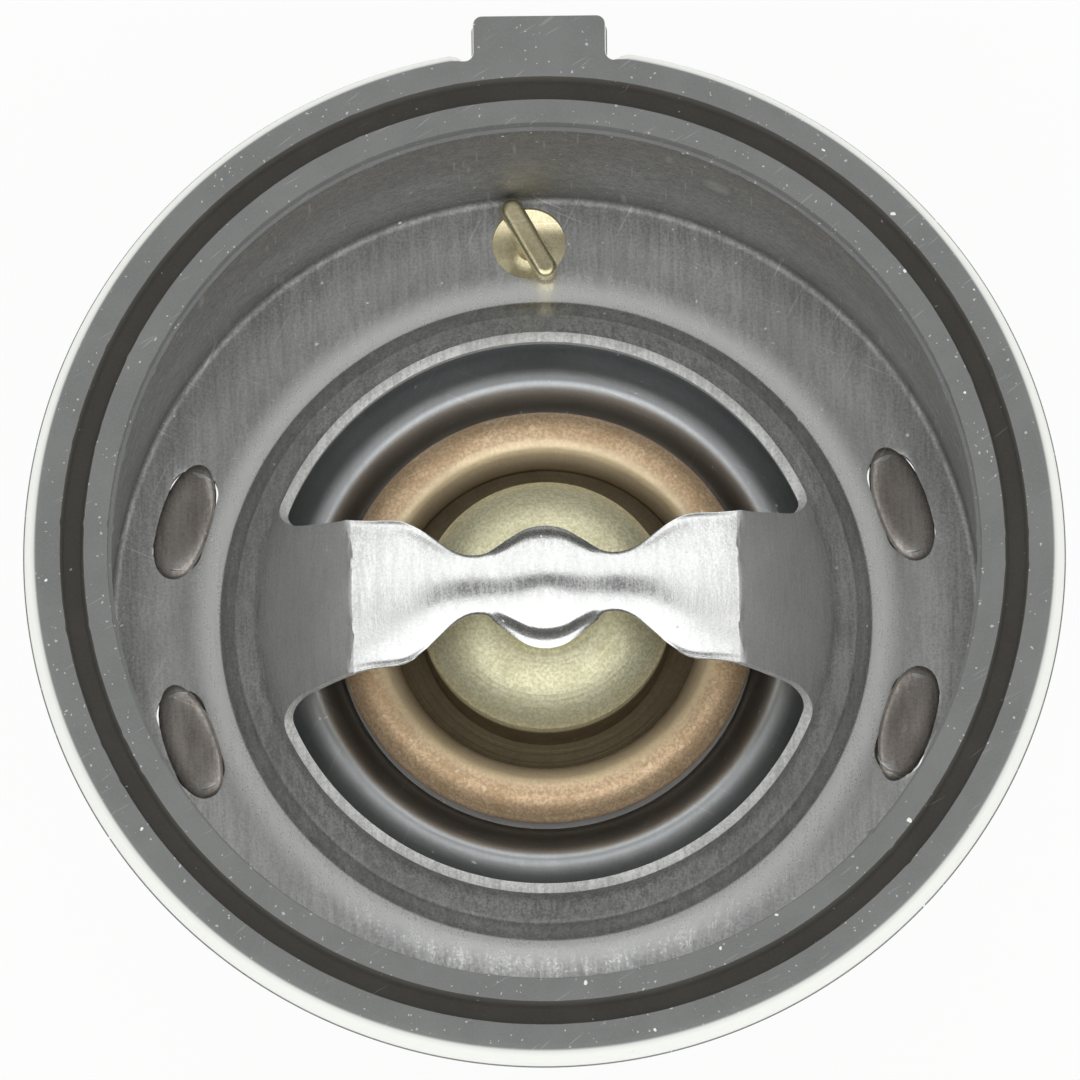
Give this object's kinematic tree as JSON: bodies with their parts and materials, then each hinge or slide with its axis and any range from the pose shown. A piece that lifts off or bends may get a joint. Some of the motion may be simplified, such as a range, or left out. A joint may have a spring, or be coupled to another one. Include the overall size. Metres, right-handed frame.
{
  "type": "engine thermostat",
  "caption": "Wax element thermostat for an engine cooling circuit: deep flanged cup with bridge, rubber seal ring with tab, sprung main valve, bypass disc and vent pin.",
  "frame": {"origin": "on the valve's axis, at the upper end of the cup's straight outer wall, 0.1 mm under the gasket", "axes": "+Z along the axis towards the radiator, +X along the bridge, +Y towards the vent pin and the gasket's tab"},
  "size_m": [0.0616, 0.0632, 0.0574],
  "materials": {
    "stamped_steel": "rolled sheet with fine parallel grain, lightly stained",
    "gasket_rubber": "matt moulded rubber with dust",
    "frame_steel": "rolled sheet",
    "piston_steel": "ground",
    "spring_steel": "drawn wire",
    "copper": "dull copper, brighter on the roll's inner edge",
    "brass": "satin, fine turning marks and scratches",
    "boot_rubber": "moulded",
    "washer_plastic": "plain",
    "wax": "waxy, copper filled",
    "valve_steel": "smooth sheet, blue-grey",
    "vent_brass": "bright coined brass"
  },
  "bodies": {
    "housing": {"flange_cup": "stamped_steel", "gasket": "gasket_rubber", "lower_frame": "frame_steel", "piston": "piston_steel", "main_spring": "spring_steel"},
    "valve": {"capsule_cup": "copper", "guide_cover": "brass", "piston_boot": "boot_rubber", "guide_washer": "washer_plastic", "wax_charge": "wax", "valve_disc": "valve_steel", "disc_retainer": "valve_steel", "bypass_stem": "piston_steel", "bypass_spring_seat": "frame_steel", "bypass_spring": "spring_steel", "bypass_washer": "frame_steel", "bypass_clip": "spring_steel"},
    "bypass": {"bypass_disc": "valve_steel"},
    "vent": {"vent_pin": "vent_brass"}
  },
  "joints": [
    {"name": "valve_lift", "type": "slide", "parent": "housing", "child": "valve", "axis": [0, 0, -1], "range_m": [0, 0.008], "stiffness_N_per_m": 4000, "springref_m": -0.01, "deforming": ["main_spring"]},
    {"name": "bypass_slide", "type": "slide", "parent": "valve", "child": "bypass", "axis": [0, 0, 1], "range_m": [0, 0.0035], "stiffness_N_per_m": 1500, "springref_m": -0.005, "deforming": ["bypass_spring"]},
    {"name": "vent_rattle", "type": "slide", "parent": "housing", "child": "vent", "axis": [0, 0, 1], "range_m": [0, 0.0014]}
  ]
}
